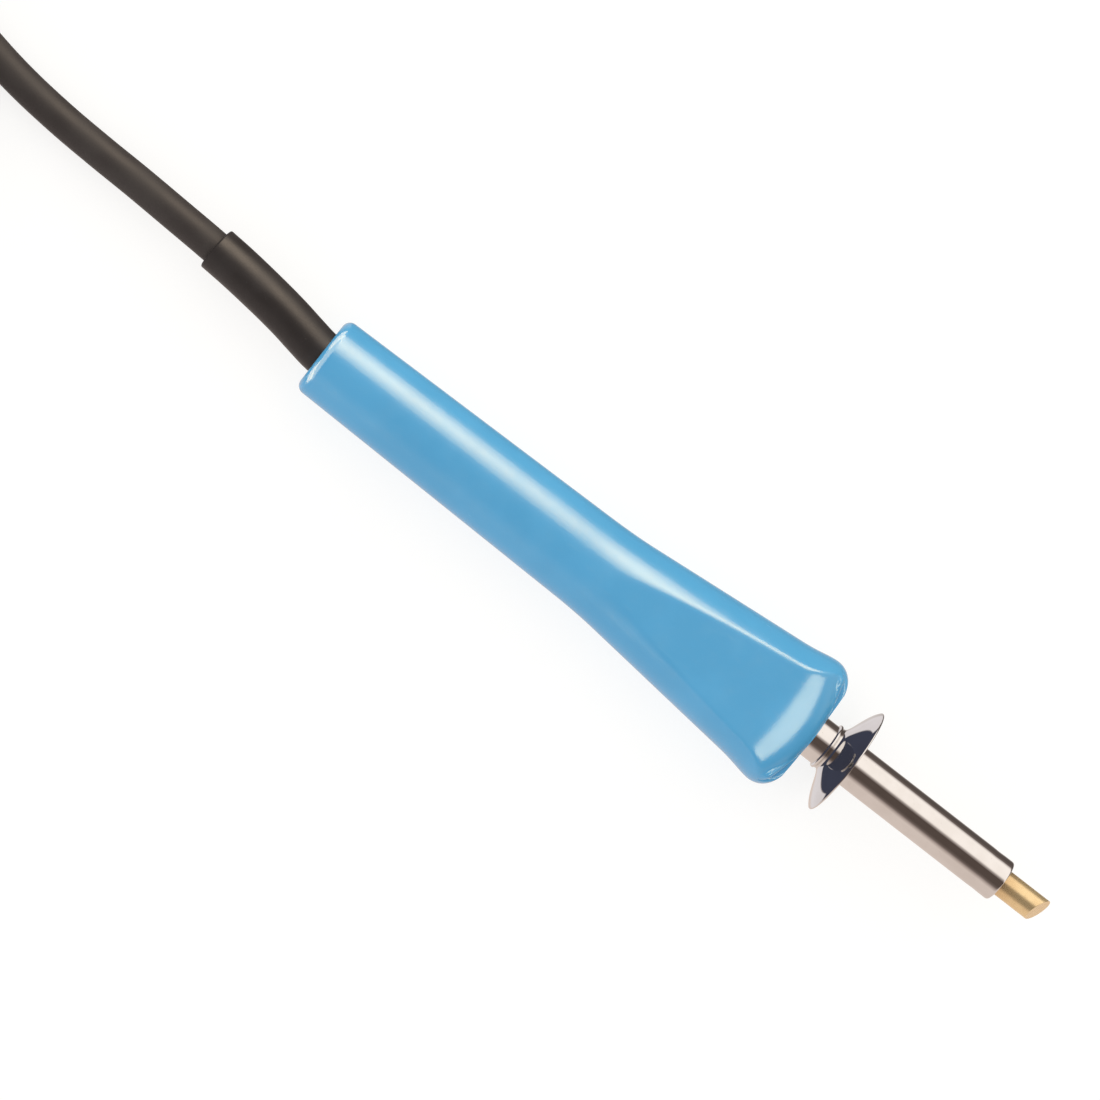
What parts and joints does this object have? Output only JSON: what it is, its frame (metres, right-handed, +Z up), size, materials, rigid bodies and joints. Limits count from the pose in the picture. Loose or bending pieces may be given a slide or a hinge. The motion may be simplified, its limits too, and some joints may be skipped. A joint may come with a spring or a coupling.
{
  "type": "soldering iron",
  "caption": "Pencil-shaped mains soldering iron with a flared, flattened handle, chrome barrel, trumpet heat shield, bevelled plug-in tip and a cord tied in a hank with its plug.",
  "frame": {"origin": "on the bench, under the middle of the iron from its cord sleeve's end to its tip, without the free cord", "axes": "+X towards the tip along the iron, +Z up from the bench it lies on, with the handle's flats facing up and down"},
  "size_m": [0.4024, 0.055, 0.0335],
  "materials": {
    "handle_plastic": "glossy moulded sky-blue",
    "bush": "dark heat-resistant moulding",
    "steel": "plain steel",
    "chrome": "bright chrome plate",
    "mica": "mica sheet",
    "resistance_wire": "drawn resistance wire",
    "ceramic": "unglazed ceramic",
    "glass_sleeving": "woven glass sleeving",
    "contact_brass": "bright brass",
    "live_insulation": "brown insulation",
    "neutral_insulation": "blue insulation",
    "earth_insulation": "green insulation",
    "sleeve_rubber": "black rubber, satin",
    "tip_plating": "bright gold-coloured plating",
    "cord_rubber": "black rubber, matt",
    "tie_strap": "woven hook and loop strap",
    "plug_plastic": "black moulded vinyl"
  },
  "bodies": {
    "iron": {"handle": "handle_plastic", "front_bush": "bush", "tube_retaining_ring": "steel", "barrel_tube": "chrome", "heat_shield": "chrome", "heater_core": "steel", "mica_inner_wrap": "mica", "heating_coil": "resistance_wire", "mica_outer_wrap": "mica", "front_ceramic_washer": "ceramic", "rear_ceramic_insulator": "ceramic", "heater_leads": "steel", "lead_sleeves": "glass_sleeving", "splice_crimps": "steel", "splice_covers": "glass_sleeving", "earth_clip": "contact_brass", "earth_crimp": "steel", "live_conductor": "live_insulation", "neutral_conductor": "neutral_insulation", "earth_conductor": "earth_insulation", "cord_clamp": "steel", "cord_sleeve": "sleeve_rubber", "cord": "cord_rubber", "cord_hank": "cord_rubber", "cord_end": "cord_rubber", "hank_tie": "tie_strap", "plug_body": "plug_plastic", "plug_bridge": "ceramic", "plug_blades": "contact_brass", "plug_earth_pin": "contact_brass"},
    "spring_ring": {"tip_spring_ring": "steel"},
    "tip": {"tip": "tip_plating"}
  },
  "joints": [
    {"name": "tip_pull", "type": "slide", "parent": "iron", "child": "spring_ring", "axis": [0.9996, 0, 0.0272], "range_m": [0, 0.03]},
    {"name": "tip_turn", "type": "hinge", "parent": "spring_ring", "child": "tip", "pos_m": [0.05446, 0, 0.01076], "axis": [0.9996, 0, 0.0272], "continuous": true}
  ]
}
